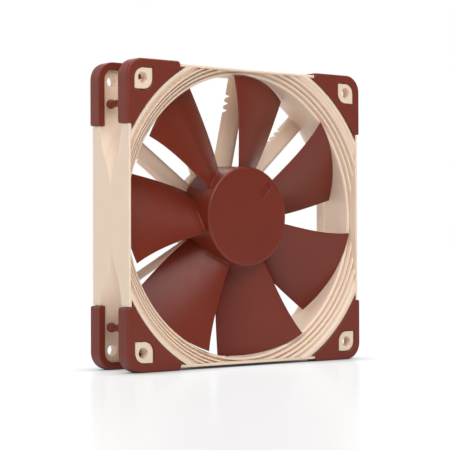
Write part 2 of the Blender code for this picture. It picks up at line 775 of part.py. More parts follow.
def thrust_washer():
    back = THRUST_FRONT + THRUST_THICKNESS
    return disc("thrust_washer", SLEEVE_RADIUS, THRUST_FRONT, back, SMALL_FACETS)


def damping_magnet():
    return disc("damping_magnet", SLEEVE_RADIUS, DAMPER_FRONT, TUBE_BACK, SMALL_FACETS)


def pole_outline(ring_radius, shoe_radius, neck_width, shoe_angle):
    """The star of poles round the core's ring, each with a neck and a curved shoe."""
    shoe_inner = shoe_radius - POLE_SHOE_THICKNESS
    neck_root = degrees(atan2(neck_width / 2, ring_radius))
    neck_top = degrees(atan2(neck_width / 2, shoe_inner))
    half = shoe_angle / 2
    outline = []
    for pole in range(POLE_COUNT):
        middle = 360 * pole / POLE_COUNT
        following = middle + 360 / POLE_COUNT
        outline += arc(0, 0, shoe_inner, middle - neck_top, middle - half, 3)
        outline += arc(0, 0, shoe_radius, middle - half, middle + half, 8)
        outline += arc(0, 0, shoe_inner, middle + half, middle + neck_top, 3)
        outline += arc(0, 0, ring_radius, middle + neck_root, following - neck_root, 5)
    return outline


def core_plate(name, bore, outline, front, back):
    plate = prism(name, outline, front, back)
    return cut(plate, disc("bore", bore, front - CUT_SPARE, back + CUT_SPARE))


def stator_core():
    outline = pole_outline(CORE_RING, CORE_RADIUS, POLE_NECK_WIDTH, POLE_SHOE_ANGLE)
    return core_plate("stator_core", CORE_BORE, outline, CORE_FRONT, CORE_BACK)


def insulator(name, front):
    """A thin plastic plate that keeps the windings off the core."""
    radius = CORE_RADIUS - INSULATOR_INSET
    outline = pole_outline(CORE_RING, radius, POLE_NECK_WIDTH, INSULATOR_SHOE_ANGLE)
    return core_plate(name, CORE_BORE, outline, front, front + INSULATOR_THICKNESS)


def coil(name, angle):
    """A winding round one pole's neck: a rounded tube of copper, hollow along the radius."""
    inner_r = CORE_RING + FIT_GAP
    hole_width = POLE_NECK_WIDTH / 2 + FIT_GAP
    shoe_inner = CORE_RADIUS - INSULATOR_INSET - POLE_SHOE_THICKNESS
    outer_r = sqrt(shoe_inner**2 - (hole_width + COIL_WINDING) ** 2) - FIT_GAP
    hole_height = (COIL_BACK - COIL_FRONT) / 2 - COIL_HEIGHT

    def loop(spread, rise, radius, r):
        half = (hole_width + spread - radius, hole_height + rise - radius)
        points = []
        for quarter, (i, k) in enumerate(((1, 1), (-1, 1), (-1, -1), (1, -1))):
            corner = (i * half[0], k * half[1])
            points += arc(*corner, radius, quarter * 90, quarter * 90 + 90, 3)
        turn = radians(angle)
        along = Vector((cos(turn), 0, sin(turn)))
        across = Vector((-sin(turn), 0, cos(turn)))
        middle = Vector((0, (COIL_FRONT + COIL_BACK) / 2, 0))
        return [middle + along * r + across * u + Vector((0, v, 0)) for u, v in points]

    body = lofted(
        name,
        [
            loop(COIL_WINDING, COIL_HEIGHT, COIL_ROUNDING, inner_r),
            loop(COIL_WINDING, COIL_HEIGHT, COIL_ROUNDING, outer_r),
        ],
    )
    hole = lofted(
        "hole",
        [
            loop(0, 0, COIL_ROUNDING / 4, inner_r - CUT_SPARE),
            loop(0, 0, COIL_ROUNDING / 4, outer_r + CUT_SPARE),
        ],
    )
    return cut(body, hole)


# Circuit board and its parts


def circuit_board():
    hole = TUBE_RADIUS + FIT_GAP + TUBE_SOCKET_WALL + FIT_GAP
    return ring("circuit_board", hole, BOARD_RADIUS, BOARD_FRONT, BOARD_BACK)


def on_board_front(name, r, angle, size):
    """A block on the board's front face; size is its radial length, height and width."""
    back = BOARD_FRONT - FIT_GAP
    return box(name, at(r, angle, back - size[1] / 2), size, angle)


def on_board_back(name, r, angle, size):
    front = BOARD_BACK + FIT_GAP
    return box(name, at(r, angle, front + size[1] / 2), size, angle)


def capacitor():
    place = at(CAPACITOR_RADIUS, CAPACITOR_ANGLE, 0)
    front = BOARD_BACK + FIT_GAP
    back = PLATE_FRONT - FIT_GAP
    return rod("capacitor", place.x, place.z, CAPACITOR_DIAMETER / 2, front, back)


def lead_terminals():
    """The four solder pads for the leads, side by side next to the slot in the base's wall."""
    for i in range(TERMINAL_COUNT):
        angle = LEAD_ANGLE + TERMINAL_SPREAD * (i - (TERMINAL_COUNT - 1) / 2)
        yield on_board_back(f"lead_terminal_{i + 1}", TERMINAL_RADIUS, angle, TERMINAL_SIZE)


def rear_label():
    radius = BASE_RADIUS - LABEL_RIM - FIT_GAP
    front = PLATE_BACK + (LABEL_RECESS - LABEL_THICKNESS) / 2
    return disc("rear_label", radius, front, front + LABEL_THICKNESS)


# Materials: colour, metallic value and roughness

MATERIALS = {
    "beige_plastic": ((0.72, 0.60, 0.48), 0.0, 0.45),
    "brown_plastic": ((0.17, 0.035, 0.022), 0.0, 0.38),
    "brown_rubber": ((0.16, 0.032, 0.022), 0.0, 0.55),
    "steel": ((0.56, 0.57, 0.58), 1.0, 0.3),
    "core_steel": ((0.35, 0.35, 0.36), 1.0, 0.45),
    "ferrite": ((0.035, 0.034, 0.033), 0.0, 0.6),
    "brass": ((0.78, 0.57, 0.22), 1.0, 0.3),
    "bronze": ((0.55, 0.33, 0.16), 1.0, 0.45),
    "copper": ((0.72, 0.28, 0.13), 1.0, 0.3),
    "nylon": ((0.8, 0.78, 0.7), 0.0, 0.5),
    "board_green": ((0.02, 0.13, 0.05), 0.0, 0.4),
    "black_epoxy": ((0.02, 0.02, 0.02), 0.0, 0.45),
    "ceramic": ((0.5, 0.42, 0.3), 0.0, 0.5),
    "tin": ((0.75, 0.75, 0.74), 1.0, 0.35),
    "label_paper": ((0.62, 0.56, 0.47), 0.0, 0.5),
}


def material(name):
    colour, metallic, roughness = MATERIALS[name]
    made = bpy.data.materials.new(name)
    made.use_nodes = True
    shader = made.node_tree.nodes["Principled BSDF"]
    shader.inputs["Base Color"].default_value = (*colour, 1)
    shader.inputs["Metallic"].default_value = metallic
    shader.inputs["Roughness"].default_value = roughness
    made.diffuse_color = (*colour, 1)
    return made


def finish(obj, made, parent):
    """Gives a piece its material and smooth round sides, and ties it to what carries it."""
    obj.data.materials.clear()
    obj.data.materials.append(made)
    obj.data.shade_smooth()
    obj.data.set_sharp_from_angle(angle=radians(SHARP_ANGLE))
    obj.parent = parent


def empty(name):
    made = bpy.data.objects.new(name, None)
    bpy.context.scene.collection.objects.link(made)
    return made


def fixed_pieces():
    """Every piece that stays still, with its material's name."""
    yield frame(), "beige_plastic"
    for name, matrix in corners():
        yield corner_pad(name, matrix), "brown_rubber"
    yield bearing_tube(), "brass"
    yield bearing_sleeve(), "bronze"
    yield oil_seal_washer(), "nylon"
    yield thrust_washer(), "nylon"
    yield damping_magnet(), "ferrite"
    yield stator_core(), "core_steel"
    yield insulator("front_insulator", CORE_FRONT - FIT_GAP - INSULATOR_THICKNESS), "nylon"
    yield insulator("rear_insulator", CORE_BACK + FIT_GAP), "nylon"
    for pole in range(POLE_COUNT):
        yield coil(f"coil_{pole + 1}", 360 * pole / POLE_COUNT), "copper"
    yield circuit_board(), "board_green"
    yield on_board_front("hall_sensor", HALL_RADIUS, HALL_ANGLE, HALL_SIZE), "black_epoxy"
    yield on_board_front("driver_chip", CHIP_RADIUS, CHIP_ANGLE, CHIP_SIZE), "black_epoxy"
    yield capacitor(), "ceramic"
    for i, angle in enumerate(RESISTOR_ANGLES):
        yield on_board_back(f"resistor_{i + 1}", RESISTOR_RADIUS, angle, RESISTOR_SIZE), "black_epoxy"
    for terminal in lead_terminals():
        yield terminal, "tin"
    yield rear_label(), "label_paper"


def turning_pieces():
    """Every piece that turns with the rotor, with its material's name."""
    yield impeller(), "brown_plastic"
    yield rotor_yoke(), "steel"
    yield ring_magnet(), "ferrite"
    yield shaft_boss(), "brass"
    yield shaft(), "steel"
    yield retaining_clip(), "nylon"


def build():
    clear_scene()
    made = {name: material(name) for name in MATERIALS}
    housing = empty("housing")
    rotor_axis = empty("rotor_axis")
    rotor_axis.parent = housing
    for obj, name in fixed_pieces():
        finish(obj, made[name], housing)
    for obj, name in turning_pieces():
        finish(obj, made[name], rotor_axis)


build()
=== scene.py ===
"""Fine mouldings, materials, floor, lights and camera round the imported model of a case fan.

The mouldings' sizes are in millimetres and MM turns them into metres. The fan's front faces -Y and its
rotor turns about the Y axis. A place along that axis is called y, a distance from it r, and an angle
about it is in degrees, counted anticlockwise from +X as seen from the front.
"""

import json
from math import acos, atan2, ceil, cos, degrees, hypot, pi, radians, sin, sqrt, tan

import bmesh
import bpy
from mathutils import Matrix, Vector


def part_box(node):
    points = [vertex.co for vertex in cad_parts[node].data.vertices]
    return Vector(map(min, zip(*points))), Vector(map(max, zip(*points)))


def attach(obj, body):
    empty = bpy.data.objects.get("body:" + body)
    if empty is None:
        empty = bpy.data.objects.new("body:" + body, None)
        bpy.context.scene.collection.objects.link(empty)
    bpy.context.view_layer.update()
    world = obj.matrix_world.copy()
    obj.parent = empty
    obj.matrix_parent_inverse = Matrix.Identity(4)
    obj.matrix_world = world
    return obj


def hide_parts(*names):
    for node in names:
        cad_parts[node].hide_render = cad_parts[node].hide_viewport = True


MM = 0.001

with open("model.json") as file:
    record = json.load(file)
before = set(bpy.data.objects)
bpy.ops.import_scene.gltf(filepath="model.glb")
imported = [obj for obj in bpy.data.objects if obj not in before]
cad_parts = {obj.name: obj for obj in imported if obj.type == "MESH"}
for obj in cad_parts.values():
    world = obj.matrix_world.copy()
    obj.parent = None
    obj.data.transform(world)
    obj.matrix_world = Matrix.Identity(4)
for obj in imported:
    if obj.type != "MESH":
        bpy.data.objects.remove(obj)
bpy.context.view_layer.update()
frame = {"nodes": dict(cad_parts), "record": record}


def extent(node, axis):
    """The lowest and highest place of a CAD node along an axis, in millimetres."""
    low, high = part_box(node)
    return low[axis] / MM, high[axis] / MM


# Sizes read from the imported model
FAN_HALF = extent("front_pad_top_right", 0)[1]
FRONT = extent("front_pad_top_right", 1)[0]
FRAME_HALF = extent("frame", 0)[1]
FRAME_FRONT, FRAME_BACK = extent("frame", 1)
HUB_FRONT, SKIRT_END = extent("impeller", 1)
FLOOR_HEIGHT = extent("front_pad_bottom_right", 2)[0]

# Gaps between pieces
FIT_GAP = 0.3
GROOVE_WIDTH = 0.55
GROOVE_DEPTH = 2.0
TIP_GAP = 0.75
CUT_SPARE = 1.0  # how far a cutter reaches past the face that it cuts

# Frame moulding
SIDE_WALL = 1.5
SIDE_LIP = 1.0
FRAME_CORNER_RADIUS = 6.0
FRAME_EDGE_RADIUS = 0.4
FLANGE_THICKNESS = 4.0
DUCT_OUTER_STEP = 2.4
POCKET_CURVE = ((2.2, 0.3), (3.8, 0.59), (7.0, 0.82), (12.9, 1.0))
INLET_RING_WIDTH = 8.5
INLET_STEP_DEPTH = 1.1
INLET_STEP_WIDTHS = (1.9, 1.5, 1.55, 1.55)
STEP_SLOPE = 1.2
STEP_ROUNDING = 0.5
RIM_ROUNDING = 0.3
OUTLET_FLARE_WIDTH = 5.5
OUTLET_FLARE_DEPTH = 8.0
SCREW_HOLE_DIAMETER = 4.3
SCREW_HOLE_INSET = 7.5
HOLE_ROUNDING = 0.12

# Corner pads
PAD_CORNER_RADIUS = 7.0
PAD_SKIN = 0.7
PAD_SIDE_WALL = 1.6
PAD_RIM_DEPTH = 6.6
PAD_RIM_WIDTH = 2.9
PAD_TIP_WIDTH = 3.7
PAD_TIP_RADIUS = 0.9
PAD_POINT_INSET = 2.4
ARC_SPARE = 0.2
PAD_OUTER_ROUNDING = 0.9
PAD_INNER_ROUNDING = 0.3
PAD_REAR_ROUNDING = 0.35
WINDOW_SIZE = 8.4
WINDOW_INSET = 7.75
WINDOW_CORNER_RADIUS = 4.2
WINDOW_SHARP_RADIUS = 0.5
WINDOW_SPARE = 0.3
BOSS_GAP = 0.15
PEG_DIAMETER = 2.7
PEG_KNOB_DIAMETER = 3.8
PEG_INSET = 5.0
PEG_ALONG = 8.4
PEG_CLEARANCE = 3.2

# Rotor moulding
HUB_RADIUS = 20.0
HUB_WALL = 1.5
HUB_FACE_THICKNESS = 1.6
HUB_EDGE_RADIUS = 0.9
HUB_SOCKET_DEPTH = 3.5
HUB_SOCKET_RADIUS = 5.1
HUB_SOCKET_BORE = 3.5
HUB_MARK_SIZE = (1.6, 5.4, 0.6)
HUB_MARK_ANGLE = 49.0
HUB_MARK_RADIUS = 14.0
GATE_MARK_RADIUS = 1.0
GATE_MARK_HEIGHT = 0.15
BLADE_COUNT = 7
BLADE_ROOT_THICKNESS = 1.9
BLADE_TIP_THICKNESS = 1.2
BLADE_EDGE_THICKNESS = 0.5
BLADE_CAMBER = 1.3
BLADE_FULLNESS = 0.7
BLADE_ROOT_FILLET = 0.7
BLADE_TIP_ROUNDING = 0.35
LEADING_ANGLES = (147.0, 145.6, 147.5)
TRAILING_ANGLES = (101.8, 107.0, 110.5)
LEADING_SETBACKS = (5.0, 2.9)
TRAILING_SETBACKS = (2.7, 3.6)

# Motor base and guide vanes
BASE_RADIUS = 20.3
BASE_DEPTH = 5.5
BASE_WALL = 1.4
BASE_PLATE = 1.2
BASE_EDGE_RADIUS = 0.5
LABEL_RECESS = 0.6
LABEL_RIM = 1.0
TUBE_SOCKET = (4.8, 6.2, 2.7)  # bore, outside and depth
POST_DIAMETER = 2.4
POST_RADIUS = 15.8
POST_COUNT = 3
LEAD_SLOT_WIDTH = 3.4
LEAD_SLOT_DEPTH = 2.6
VANE_DEPTH = 6.0
VANE_THICKNESS = 1.3
VANE_EDGE_SHARE = 0.3  # of a vane's thickness, left at its edges
VANE_EDGE_ROUNDING = 0.5
VANE_OFFSETS = (-0.8, 3.9)  # its front and rear edges, anticlockwise of the radial line at its angle
VANE_ANGLES = (9.5, 41.9, 77.1, 110.9, 144.7, 176.8, 208.9, 241.3, 273.4, 305.0, 337.0)
LEAD_VANE = 9
TOOTH_COUNT = 3
TOOTH_PITCH = 3.05
TOOTH_DEPTH = 2.0
TOOTH_SHARE = 0.68
TOOTH_MARGIN = 5.05
# A notch's outline: shares of its half width and of its depth
TOOTH_OUTLINE = (
    (-1.0, 0.0),
    (-0.8, 0.1),
    (-0.16, 0.9),
    (0.0, 1.0),
    (0.16, 0.9),
    (0.8, 0.1),
    (1.0, 0.0),
)

# Steps of the fine surfaces
ROUND_FACETS = 240
HUB_FACETS = 192
HOLE_FACETS = 40
FILLET_STEPS = 4
BLADE_SPAN_STEPS = 26
BLADE_CHORD_STEPS = 26
VANE_SPAN_STEP = 2.5
SHARP_ANGLE = 34.0

# Places that follow from the sizes
BACK = -FRONT
FLANGE_INNER = FRAME_BACK - FLANGE_THICKNESS
BORE_RADIUS = FRAME_HALF - SIDE_WALL
RING_RADIUS = BORE_RADIUS + INLET_RING_WIDTH
PAD_ARC_RADIUS = RING_RADIUS + FIT_GAP
PAD_ARM_END = sqrt(PAD_ARC_RADIUS**2 - (FAN_HALF - PAD_TIP_WIDTH) ** 2)
HOLE_PLACE = FAN_HALF - SCREW_HOLE_INSET
TIP_RADIUS = BORE_RADIUS - TIP_GAP
HUB_INNER_FACE = HUB_FRONT + HUB_FACE_THICKNESS
BASE_FRONT = FRAME_BACK - BASE_DEPTH
LEAD_ANGLE = (VANE_ANGLES[LEAD_VANE] + VANE_ANGLES[LEAD_VANE + 1]) / 2
PLATE_BACK = FRAME_BACK - LABEL_RECESS
PLATE_FRONT = PLATE_BACK - BASE_PLATE
BOARD_BACK = extent("circuit_board", 1)[1]


# Mesh building


def at(r, angle, y):
    """The point at distance r from the axis, at an angle in degrees."""
    return Vector((r * cos(radians(angle)), y, r * sin(radians(angle))))


def new_object(name, points, faces):
    """An object from points in millimetres, with its faces turned outwards."""
    mesh = bpy.data.meshes.new(name)
    mesh.from_pydata([Vector(point) * MM for point in points], [], faces)
    builder = bmesh.new()
    builder.from_mesh(mesh)
    bmesh.ops.recalc_face_normals(builder, faces=builder.faces)
    builder.to_mesh(mesh)
    builder.free()
    obj = bpy.data.objects.new(name, mesh)
    bpy.context.scene.collection.objects.link(obj)
    return obj


def turned(name, profile, facets=ROUND_FACETS):
    """A solid of revolution about the fan's axis, from a closed outline of (r, y) points."""
    points = []
    rings = []
    for r, y in profile:
        count = 1 if r == 0 else facets
        rings.append([len(points) + step for step in range(count)] * (facets // count))
        points += [at(r, 360 * step / facets, y) for step in range(count)]
    faces = []
    for here, there in zip(rings, rings[1:] + rings[:1]):
        for step in range(facets):
            after = (step + 1) % facets
            corners = [here[step], here[after], there[after], there[step]]
            face = [corner for i, corner in enumerate(corners) if corner != corners[i - 1]]
            if len(face) > 2:
                faces.append(face)
    return new_object(name, points, faces)


def lofted(name, loops):
    """A solid through loops that have the same number of points, closed at both ends."""
    size = len(loops[0])
    points = [point for loop in loops for point in loop]
    faces = [list(range(size)), list(range(len(points) - size, len(points)))]
    for start in range(0, len(points) - size, size):
        for i in range(size):
            after = (i + 1) % size
            faces.append([start + i, start + after, start + size + after, start + size + i])
    return new_object(name, points, faces)


def prism(name, outline, front, back):
    """An outline of (x, z) points, extruded along the fan's axis."""
    return lofted(name, [[(x, y, z) for x, z in outline] for y in (front, back)])


def arc(x, z, radius, start, end, steps):
    """Points from one angle to another round x, z, both ends included."""
    angles = [radians(start + (end - start) * i / steps) for i in range(steps + 1)]
    return [(x + radius * cos(angle), z + radius * sin(angle)) for angle in angles]


def rounded_square(half, radius, steps=12):
    """The outline of a square with round corners, centred on the axis."""
    centre = half - radius
    points = []
    for quarter, (i, k) in enumerate(((1, 1), (-1, 1), (-1, -1), (1, -1))):
        points += arc(i * centre, k * centre, radius, quarter * 90, quarter * 90 + 90, steps)
    return points


def filleted(corners, steps=FILLET_STEPS):
    """A closed outline from (a, b, radius) corners, each rounded by its radius."""
    outline = []
    for i, (a, b, radius) in enumerate(corners):
        here = Vector((a, b))
        if radius == 0:
            outline.append((a, b))
            continue
        before = Vector(corners[i - 1][:2]) - here
        after = Vector(corners[(i + 1) % len(corners)][:2]) - here
        half = before.angle(after) / 2
        reach = min(radius / tan(half), before.length * 0.48, after.length * 0.48)
        start = here + before.normalized() * reach
        end = here + after.normalized() * reach
        middle = (before.normalized() + after.normalized()).normalized()
        centre = here + middle * reach / cos(half)
        for step in range(steps + 1):
            spoke = (start - centre).slerp(end - centre, step / steps)
            outline.append(tuple(centre + spoke))
    return outline


def edge_inset(depth, radius):
    """How far a round edge of that radius stands back at a depth below its face."""
    if depth >= radius:
        return 0.0
    return radius - sqrt(radius**2 - (radius - depth) ** 2)


def edge_depths(radius, steps=FILLET_STEPS):
    """Depths below a face that follow a round edge of that radius."""
    return [radius * (1 - cos(pi / 2 * i / steps)) for i in range(steps + 1)]


def smooth_curve(points, steps=6):
    """A smooth line through the points, as a Catmull-Rom spline."""
    ends = [2 * points[0] - points[1], *points, 2 * points[-1] - points[-2]]
    line = [points[0]]
    for a, b, c, d in zip(ends, ends[1:], ends[2:], ends[3:]):
        for i in range(1, steps + 1):
            t = i / steps
            line.append(
                0.5 * (2 * b + (c - a) * t + (2 * a - 5 * b + 4 * c - d) * t**2)
                + 0.5 * (3 * b - a - 3 * c + d) * t**3
            )
    return line


def box(name, centre, size, angle=0.0):
    """A block whose width, depth and height are turned together about the fan's axis."""
    half = Vector(size) / 2
    corners = [(-1, -1), (1, -1), (1, 1), (-1, 1)]
    turn = Matrix.Rotation(radians(-angle), 3, "Y")
    loops = []
    for side in (-1, 1):
        loops.append(
            [
                Vector(centre) + turn @ Vector((half.x * i, half.y * side, half.z * k))
                for i, k in corners
            ]
        )
    return lofted(name, loops)


# Solid modelling


def combine(target, tools, operation):
    """Unites, cuts or intersects the target with each tool, and removes the tools."""
    for tool in tools:
        modifier = target.modifiers.new(operation.title(), "BOOLEAN")
        modifier.operation = operation
        modifier.solver = "EXACT"
        modifier.object = tool
    graph = bpy.context.evaluated_depsgraph_get()
    mesh = bpy.data.meshes.new_from_object(target.evaluated_get(graph))
    target.modifiers.clear()
    target.data = mesh
    for tool in tools:
        bpy.data.objects.remove(tool)
    return target


def cut(target, *tools):
    return combine(target, tools, "DIFFERENCE")


def join(target, *tools):
    return combine(target, tools, "UNION")


def keep_inside(target, *tools):
    return combine(target, tools, "INTERSECT")


def transformed(obj, matrix):
    """Moves the object's points, and keeps its faces pointing outwards."""
    obj.data.transform(matrix)
    if matrix.determinant() < 0:
        obj.data.flip_normals()
    return obj


def shaded(obj, sharp_angle=SHARP_ANGLE):
    """Smooth round sides, sharp edges and flat flats."""
    obj.data.shade_smooth()
    obj.data.set_sharp_from_angle(angle=radians(sharp_angle))
    weighted = obj.modifiers.new("Weighted normals", "WEIGHTED_NORMAL")
    weighted.keep_sharp = True
    return obj


# Corner pads


def pad_outline(outer, inner):
    """The top right pad's outline, taken in by outer at its sides and by inner at its arc and ends.

    Each end is square, and runs on beside the arc as a thin point inside the frame's lip.
    """
    side = FAN_HALF - outer
    centre = FAN_HALF - PAD_CORNER_RADIUS
    end = PAD_ARM_END + inner
    lip = FAN_HALF - PAD_POINT_INSET - inner
    arc_radius = PAD_ARC_RADIUS + ARC_SPARE + inner
    point = degrees(acos(lip / arc_radius))
    tip = arc(side - PAD_TIP_RADIUS, end + PAD_TIP_RADIUS, PAD_TIP_RADIUS, -90, 0, 4)
    outline = [(lip, end), *tip]
    outline += arc(centre, centre, PAD_CORNER_RADIUS - outer, 0, 90, 14)
    outline += [(z, x) for x, z in reversed(tip)]
    outline += [(end, lip)]
    outline += arc(0, 0, arc_radius, 90 - point, point, 40)
    return outline


def window_outline(grow):
    """The leaf-shaped window round the screw hole: two opposite corners are round."""
    centre = FAN_HALF - WINDOW_INSET
    low = centre - WINDOW_SIZE / 2 - grow
    high = centre + WINDOW_SIZE / 2 + grow
    sharp = WINDOW_SHARP_RADIUS + grow
    wide = WINDOW_CORNER_RADIUS + grow
    outline = arc(high - sharp, low + sharp, sharp, -90, 0, 4)
    outline += arc(high - wide, high - wide, wide, 0, 90, 12)
    outline += arc(low + sharp, high - sharp, sharp, 90, 180, 4)
    outline += arc(low + wide, low + wide, wide, 180, 270, 12)
    return outline


def pad_body():
    """The front top right pad as one block with round edges."""
    rim_end = FRONT + PAD_RIM_DEPTH
    depths = edge_depths(PAD_INNER_ROUNDING) + edge_depths(PAD_OUTER_ROUNDING)[1:]
    places = sorted(FRONT + depth for depth in depths)
    places += sorted(rim_end - depth for depth in edge_depths(PAD_REAR_ROUNDING))
    loops = []
    for y in places:
        outer = edge_inset(y - FRONT, PAD_OUTER_ROUNDING)
        inner = edge_inset(y - FRONT, PAD_INNER_ROUNDING)
        rear = edge_inset(rim_end - y, PAD_REAR_ROUNDING)
        outline = pad_outline(outer + rear, inner + rear)
        loops.append([(x, y, z) for x, z in outline])
    return lofted("pad", loops)


def peg_and_knob():
    """The peg through the flange, with the round knob that keeps it there."""
    x = FAN_HALF - PEG_INSET
    z = PAD_ARM_END + PEG_ALONG
    radius = PEG_KNOB_DIAMETER / 2
    middle = FLANGE_INNER - PEG_CLEARANCE
    neck = sqrt(radius**2 - (PEG_DIAMETER / 2) ** 2)
    start = FRONT + PAD_SKIN / 2
    places = [(start, PEG_DIAMETER / 2), (middle - neck, PEG_DIAMETER / 2)]
    first = degrees(atan2(PEG_DIAMETER / 2, -neck))
    for step in range(1, 15):
        turn = radians(first * (1 - step / 15))
        places.append((middle + radius * cos(turn), radius * sin(turn)))
    loops = []
    for y, r in places:
        loops.append([(px, y, pz) for px, pz in arc(x, z, r, 0, 360, 32)[:-1]])
    return lofted("peg", loops)


def point_backs(front):
    """Blocks that leave only the skin of a pad's two thin points."""
    near = PAD_ARM_END - PAD_TIP_WIDTH
    far = FAN_HALF - PAD_POINT_INSET + 0.6 * FIT_GAP
    inside = far - PAD_TIP_WIDTH
    outline = [(inside, near), (far, near), (far, PAD_ARM_END), (inside, PAD_ARM_END)]
    swapped = [(z, x) for x, z in outline]
    return [prism("point_back", corners, front, 0) for corners in (outline, swapped)]


def corner_pad(name, matrix):
    skin_back = FRONT + PAD_SKIN
    rim_end = FRONT + PAD_RIM_DEPTH
    wall = FAN_HALF - PAD_SIDE_WALL
    rim = FAN_HALF - PAD_RIM_WIDTH
    flange_outline = rounded_square(wall, PAD_CORNER_RADIUS - PAD_SIDE_WALL)
    flange_room = prism("flange", flange_outline, skin_back, -FLANGE_INNER + FIT_GAP)
    loops = []
    for y, flare in ((skin_back, 0), (rim_end - 0.5, 0), (rim_end - 0.15, 0.1), (rim_end + 0.2, 0.5)):
        outline = rounded_square(rim + flare, PAD_CORNER_RADIUS - PAD_RIM_WIDTH + flare)
        loops.append([(x, y, z) for x, z in outline])
    hollow = lofted("hollow", loops)
    pad = cut(pad_body(), flange_room, hollow, *point_backs(skin_back))
    join(pad, peg_and_knob())
    loops = []
    for depth, grow in (
        (-CUT_SPARE, 0.5),
        (-0.05, 0.2),
        (0.05, 0.1),
        (0.2, 0.0),
        (PAD_SKIN + CUT_SPARE, 0.0),
    ):
        loops.append([(x, FRONT + depth, z) for x, z in window_outline(WINDOW_SPARE + grow)])
    cut(pad, lofted("window", loops))
    pad.name = name
    return shaded(transformed(pad, matrix))


def corner_matrix(i, k, rear):
    """Takes the front top right pad to the corner on side i of X and k of Z."""
    matrix = Matrix.Diagonal((i, 1, k, 1))
    if rear:
        swap = Matrix(((0, 0, 1, 0), (0, -1, 0, 0), (1, 0, 0, 0), (0, 0, 0, 1)))
        matrix = matrix @ swap
    return matrix


def corners():
    """Each pad's node and the matrix that takes the front top right pad to it."""
    for face in ("front", "rear"):
        for k, height in ((1, "top"), (-1, "bottom")):
            for i, side in ((-1, "left"), (1, "right")):
                yield f"{face}_pad_{height}_{side}", corner_matrix(i, k, face == "rear")


# Frame moulding


def pad_seat(matrix):
    """The room that a corner pad takes in the frame, with its fitting gap.

    A boss is left inside the pad's window, with a groove round it and one beside the pad's arc.
    """
    side = FAN_HALF + FIT_GAP
    end = PAD_ARM_END - FIT_GAP
    lip = FAN_HALF - PAD_POINT_INSET + FIT_GAP
    inner = PAD_ARC_RADIUS - FIT_GAP
    point = degrees(acos(lip / inner))
    centre = FAN_HALF - PAD_CORNER_RADIUS
    outline = [(lip, end), (side, end)]
    outline += arc(centre, centre, PAD_CORNER_RADIUS + FIT_GAP, 0, 90, 12)
    outline += [(end, side), (end, lip)]
    outline += arc(0, 0, inner, 90 - point, point, 40)
    rim_end = FRONT + PAD_RIM_DEPTH + FIT_GAP
    skin_back = FRONT + PAD_SKIN + FIT_GAP
    wall = FAN_HALF - PAD_SIDE_WALL - FIT_GAP
    rim = FAN_HALF - PAD_RIM_WIDTH - FIT_GAP
    corner = PAD_CORNER_RADIUS - FIT_GAP
    seat = prism("seat", outline, FRONT - CUT_SPARE, rim_end)
    flange_outline = rounded_square(wall, corner - PAD_SIDE_WALL)
    flange = prism("flange", flange_outline, skin_back, -FLANGE_INNER)
    rim_outline = rounded_square(rim, corner - PAD_RIM_WIDTH)
    hollow = prism("hollow", rim_outline, skin_back, rim_end + CUT_SPARE)
    boss = prism("boss", window_outline(-BOSS_GAP), FRAME_FRONT, skin_back + CUT_SPARE)
    cut(seat, flange, hollow, boss, *point_backs(skin_back))
    groove_end = skin_back + GROOVE_DEPTH
    core_end = skin_back + 2 * GROOVE_DEPTH
    groove = prism("groove", window_outline(WINDOW_SPARE + 0.1), FRAME_FRONT, groove_end)
    core = prism("core", window_outline(-BOSS_GAP), FRAME_FRONT - CUT_SPARE, core_end)
    ring_groove = prism("ring_groove", outline, skin_back - FIT_GAP, groove_end)
    reach = inner + GROOVE_WIDTH
    keep_inside(ring_groove, turned("reach", [(0, FRONT), (reach, FRONT), (reach, 0), (0, 0)]))
    join(seat, cut(groove, core), ring_groove)
    x = FAN_HALF - PEG_INSET
    z = PAD_ARM_END + PEG_ALONG
    peg_hole = arc(x, z, PEG_DIAMETER / 2 + FIT_GAP, 0, 360, 32)[:-1]
    join(seat, prism("peg_hole", peg_hole, skin_back - PAD_SKIN, -FLANGE_INNER + CUT_SPARE))
    return transformed(seat, matrix)


def screw_hole(x, z):
    """A cutter for a screw hole through both flanges, wider at each mouth."""
    radius = SCREW_HOLE_DIAMETER / 2
    mouth = radius + HOLE_ROUNDING
    seat = FRAME_BACK
    half = [
        (0.0, mouth),
        (FLANGE_INNER, mouth),
        (FLANGE_INNER + HOLE_ROUNDING / 3, radius + HOLE_ROUNDING / 3),
        (FLANGE_INNER + HOLE_ROUNDING, radius),
        (seat - HOLE_ROUNDING, radius),
        (seat - HOLE_ROUNDING / 3, radius + HOLE_ROUNDING / 3),
        (seat, mouth),
        (seat + 3, mouth + 1),
    ]
    places = [(-y, r) for y, r in half[:0:-1]] + half
    loops = []
    for y, r in places:
        loops.append([(px, y, pz) for px, pz in arc(x, z, r, 0, 360, HOLE_FACETS)[:-1]])
    return lofted("hole", loops)


def pocket_cutter():
    """Hollows the four sides towards the corners, between the flanges."""
    waist = BORE_RADIUS + DUCT_OUTER_STEP
    curve = [Vector((waist, 0))]
    curve += [Vector((waist + out, FLANGE_INNER * share)) for out, share in POCKET_CURVE]
    half = [tuple(point) for point in smooth_curve(curve)]
    half[-1] = (half[-1][0], FLANGE_INNER)
    half.append((2 * FAN_HALF, FLANGE_INNER))
    mirrored = [(r, -y) for r, y in half[:0:-1]]
    return turned("pockets", mirrored + half)


